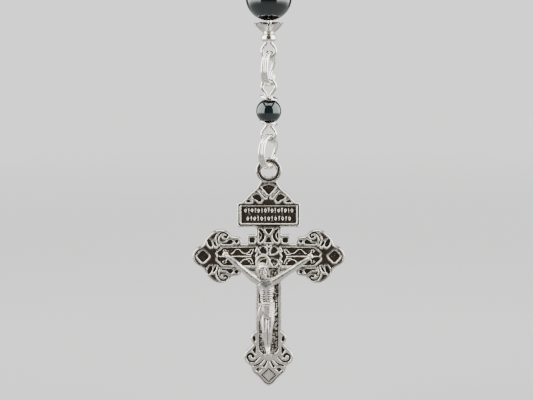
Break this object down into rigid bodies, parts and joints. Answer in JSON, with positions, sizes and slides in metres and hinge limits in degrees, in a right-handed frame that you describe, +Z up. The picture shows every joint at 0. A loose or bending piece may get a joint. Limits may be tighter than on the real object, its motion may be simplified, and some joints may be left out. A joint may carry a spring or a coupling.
{
  "type": "rosary",
  "caption": "Short hanging rosary: black stone beads linked on silver eye pins in a loop, a centre medal, and a pendant with a large bead, an accent bead and an ornate crucifix.",
  "frame": {"origin": "inside of the top of the hanging ring, where a peg or hook carries the rosary", "axes": "+Z up along the hanging rosary, +X to the right seen from the front, -Y out of the front of the crucifix"},
  "size_m": [0.0346, 0.0104, 0.204],
  "materials": {
    "onyx": "polished black stone",
    "bright_silver": "bright silver plate, polished",
    "antique_silver": "cast, antiqued silver: bright raised edges over a dark brown patina",
    "cast_silver": "cast silver, rubbed bright, with patina in the folds"
  },
  "bodies": {
    "hanging_ring": {"hanging_ring": "bright_silver"},
    "decade_pin_05": {"decade_pin_05": "bright_silver"},
    "decade_bead_05": {"decade_bead_05": "onyx"},
    "decade_pin_04": {"decade_pin_04": "bright_silver"},
    "decade_bead_04": {"decade_bead_04": "onyx"},
    "decade_pin_03": {"decade_pin_03": "bright_silver"},
    "decade_bead_03": {"decade_bead_03": "onyx"},
    "decade_pin_02": {"decade_pin_02": "bright_silver"},
    "decade_bead_02": {"decade_bead_02": "onyx"},
    "decade_pin_01": {"decade_pin_01": "bright_silver"},
    "decade_bead_01": {"decade_bead_01": "onyx"},
    "decade_pin_06": {"decade_pin_06": "bright_silver"},
    "decade_bead_06": {"decade_bead_06": "onyx"},
    "decade_pin_07": {"decade_pin_07": "bright_silver"},
    "decade_bead_07": {"decade_bead_07": "onyx"},
    "decade_pin_08": {"decade_pin_08": "bright_silver"},
    "decade_bead_08": {"decade_bead_08": "onyx"},
    "decade_pin_09": {"decade_pin_09": "bright_silver"},
    "decade_bead_09": {"decade_bead_09": "onyx"},
    "decade_pin_10": {"decade_pin_10": "bright_silver"},
    "decade_bead_10": {"decade_bead_10": "onyx"},
    "centre_medal": {"centre_medal": "antique_silver"},
    "upper_split_ring": {"upper_split_ring": "bright_silver"},
    "father_pin": {"father_pin": "bright_silver"},
    "father_bead": {"father_bead": "onyx"},
    "father_cap_upper": {"father_cap_upper": "antique_silver"},
    "father_cap_lower": {"father_cap_lower": "antique_silver"},
    "father_collar_upper": {"father_collar_upper": "bright_silver"},
    "father_collar_lower": {"father_collar_lower": "bright_silver"},
    "middle_split_ring": {"middle_split_ring": "bright_silver"},
    "accent_pin": {"accent_pin": "bright_silver"},
    "accent_bead": {"accent_bead": "onyx"},
    "accent_disc_upper": {"accent_disc_upper": "bright_silver"},
    "accent_disc_lower": {"accent_disc_lower": "bright_silver"},
    "crucifix_split_ring": {"crucifix_split_ring": "bright_silver"},
    "crucifix": {"crucifix_cross": "antique_silver", "crucifix_figure": "cast_silver"}
  },
  "joints": [
    {"name": "swing_pin_05", "type": "hinge", "parent": "hanging_ring", "child": "decade_pin_05", "pos_m": [-0.0011, 0, -0.00836], "axis": [1, 0, 0], "range_deg": [-60, 60]},
    {"name": "spin_bead_05", "type": "hinge", "parent": "decade_pin_05", "child": "decade_bead_05", "pos_m": [-0.00415, 0, -0.01396], "axis": [0.4788, 0, 0.8779], "continuous": true},
    {"name": "swing_pin_04", "type": "hinge", "parent": "decade_pin_05", "child": "decade_pin_04", "pos_m": [-0.00721, 0, -0.01957], "axis": [-1, 0, 0], "range_deg": [-60, 60]},
    {"name": "spin_bead_04", "type": "hinge", "parent": "decade_pin_04", "child": "decade_bead_04", "pos_m": [-0.0073, 0, -0.02685], "axis": [-0.0574, 0, 0.9984], "continuous": true},
    {"name": "swing_pin_03", "type": "hinge", "parent": "decade_pin_04", "child": "decade_pin_03", "pos_m": [-0.00688, 0, -0.03419], "axis": [1, 0, 0], "range_deg": [-60, 60]},
    {"name": "spin_bead_03", "type": "hinge", "parent": "decade_pin_03", "child": "decade_bead_03", "pos_m": [-0.00651, 0, -0.04063], "axis": [-0.0574, 0, 0.9984], "continuous": true},
    {"name": "swing_pin_02", "type": "hinge", "parent": "decade_pin_03", "child": "decade_pin_02", "pos_m": [-0.00614, 0, -0.04707], "axis": [-1, 0, 0], "range_deg": [-60, 60]},
    {"name": "spin_bead_02", "type": "hinge", "parent": "decade_pin_02", "child": "decade_bead_02", "pos_m": [-0.00571, 0, -0.0544], "axis": [-0.0574, 0, 0.9984], "continuous": true},
    {"name": "swing_pin_01", "type": "hinge", "parent": "decade_pin_02", "child": "decade_pin_01", "pos_m": [-0.00529, 0, -0.06174], "axis": [1, 0, 0], "range_deg": [-60, 60]},
    {"name": "spin_bead_01", "type": "hinge", "parent": "decade_pin_01", "child": "decade_bead_01", "pos_m": [-0.00492, 0, -0.06818], "axis": [-0.0574, 0, 0.9984], "continuous": true},
    {"name": "swing_pin_06", "type": "hinge", "parent": "hanging_ring", "child": "decade_pin_06", "pos_m": [0.0011, 0, -0.00836], "axis": [1, 0, 0], "range_deg": [-60, 60]},
    {"name": "spin_bead_06", "type": "hinge", "parent": "decade_pin_06", "child": "decade_bead_06", "pos_m": [0.00415, 0, -0.01396], "axis": [-0.4788, 0, 0.8779], "continuous": true},
    {"name": "swing_pin_07", "type": "hinge", "parent": "decade_pin_06", "child": "decade_pin_07", "pos_m": [0.00721, 0, -0.01957], "axis": [-1, 0, 0], "range_deg": [-60, 60]},
    {"name": "spin_bead_07", "type": "hinge", "parent": "decade_pin_07", "child": "decade_bead_07", "pos_m": [0.0073, 0, -0.02685], "axis": [0.0574, 0, 0.9984], "continuous": true},
    {"name": "swing_pin_08", "type": "hinge", "parent": "decade_pin_07", "child": "decade_pin_08", "pos_m": [0.00688, 0, -0.03419], "axis": [1, 0, 0], "range_deg": [-60, 60]},
    {"name": "spin_bead_08", "type": "hinge", "parent": "decade_pin_08", "child": "decade_bead_08", "pos_m": [0.00651, 0, -0.04063], "axis": [0.0574, 0, 0.9984], "continuous": true},
    {"name": "swing_pin_09", "type": "hinge", "parent": "decade_pin_08", "child": "decade_pin_09", "pos_m": [0.00614, 0, -0.04707], "axis": [-1, 0, 0], "range_deg": [-60, 60]},
    {"name": "spin_bead_09", "type": "hinge", "parent": "decade_pin_09", "child": "decade_bead_09", "pos_m": [0.00571, 0, -0.0544], "axis": [0.0574, 0, 0.9984], "continuous": true},
    {"name": "swing_pin_10", "type": "hinge", "parent": "decade_pin_09", "child": "decade_pin_10", "pos_m": [0.00529, 0, -0.06174], "axis": [1, 0, 0], "range_deg": [-60, 60]},
    {"name": "spin_bead_10", "type": "hinge", "parent": "decade_pin_10", "child": "decade_bead_10", "pos_m": [0.00492, 0, -0.06818], "axis": [0.0574, 0, 0.9984], "continuous": true},
    {"name": "swing_medal", "type": "hinge", "parent": "decade_pin_01", "child": "centre_medal", "pos_m": [0, 0, -0.07457], "axis": [-1, 0, 0], "range_deg": [-60, 60]},
    {"name": "swing_upper_ring", "type": "hinge", "parent": "centre_medal", "child": "upper_split_ring", "pos_m": [0, 0, -0.09577], "axis": [0.9397, -0.342, 0], "range_deg": [-60, 45]},
    {"name": "swing_father_pin", "type": "hinge", "parent": "upper_split_ring", "child": "father_pin", "pos_m": [0, 0, -0.10221], "axis": [0, 1, 0], "range_deg": [-60, 60]},
    {"name": "spin_father_bead", "type": "hinge", "parent": "father_pin", "child": "father_bead", "pos_m": [0, 0, -0.11421], "axis": [0, 0, 1], "continuous": true},
    {"name": "spin_father_cap_upper", "type": "hinge", "parent": "father_pin", "child": "father_cap_upper", "pos_m": [0, 0, -0.10841], "axis": [0, 0, 1], "continuous": true},
    {"name": "spin_father_cap_lower", "type": "hinge", "parent": "father_pin", "child": "father_cap_lower", "pos_m": [0, 0, -0.12001], "axis": [0, 0, 1], "continuous": true},
    {"name": "spin_father_collar_upper", "type": "hinge", "parent": "father_pin", "child": "father_collar_upper", "pos_m": [0, 0, -0.10601], "axis": [0, 0, 1], "continuous": true},
    {"name": "spin_father_collar_lower", "type": "hinge", "parent": "father_pin", "child": "father_collar_lower", "pos_m": [0, 0, -0.12241], "axis": [0, 0, 1], "continuous": true},
    {"name": "swing_middle_ring", "type": "hinge", "parent": "father_pin", "child": "middle_split_ring", "pos_m": [0, 0, -0.12771], "axis": [-0.9659, 0.2588, 0], "range_deg": [-60, 60]},
    {"name": "swing_accent_pin", "type": "hinge", "parent": "middle_split_ring", "child": "accent_pin", "pos_m": [0, 0, -0.13425], "axis": [0, -1, 0], "range_deg": [-60, 60]},
    {"name": "spin_accent_bead", "type": "hinge", "parent": "accent_pin", "child": "accent_bead", "pos_m": [0, 0, -0.1399], "axis": [0, 0, 1], "continuous": true},
    {"name": "spin_accent_disc_upper", "type": "hinge", "parent": "accent_pin", "child": "accent_disc_upper", "pos_m": [0, 0, -0.13705], "axis": [0, 0, 1], "continuous": true},
    {"name": "spin_accent_disc_lower", "type": "hinge", "parent": "accent_pin", "child": "accent_disc_lower", "pos_m": [0, 0, -0.14235], "axis": [0, 0, 1], "continuous": true},
    {"name": "swing_crucifix_ring", "type": "hinge", "parent": "accent_pin", "child": "crucifix_split_ring", "pos_m": [0, 0, -0.1466], "axis": [0.8988, -0.4384, 0], "range_deg": [-40, 40]},
    {"name": "swing_crucifix", "type": "hinge", "parent": "crucifix_split_ring", "child": "crucifix", "pos_m": [0, 0, -0.15337], "axis": [0, 1, 0], "range_deg": [-60, 60]}
  ],
  "couplings": [
    {"joint": "swing_pin_06", "follows": "swing_pin_05", "ratio": 1},
    {"joint": "swing_pin_07", "follows": "swing_pin_04", "ratio": 1},
    {"joint": "swing_pin_08", "follows": "swing_pin_03", "ratio": 1},
    {"joint": "swing_pin_09", "follows": "swing_pin_02", "ratio": 1},
    {"joint": "swing_pin_10", "follows": "swing_pin_01", "ratio": 1}
  ]
}
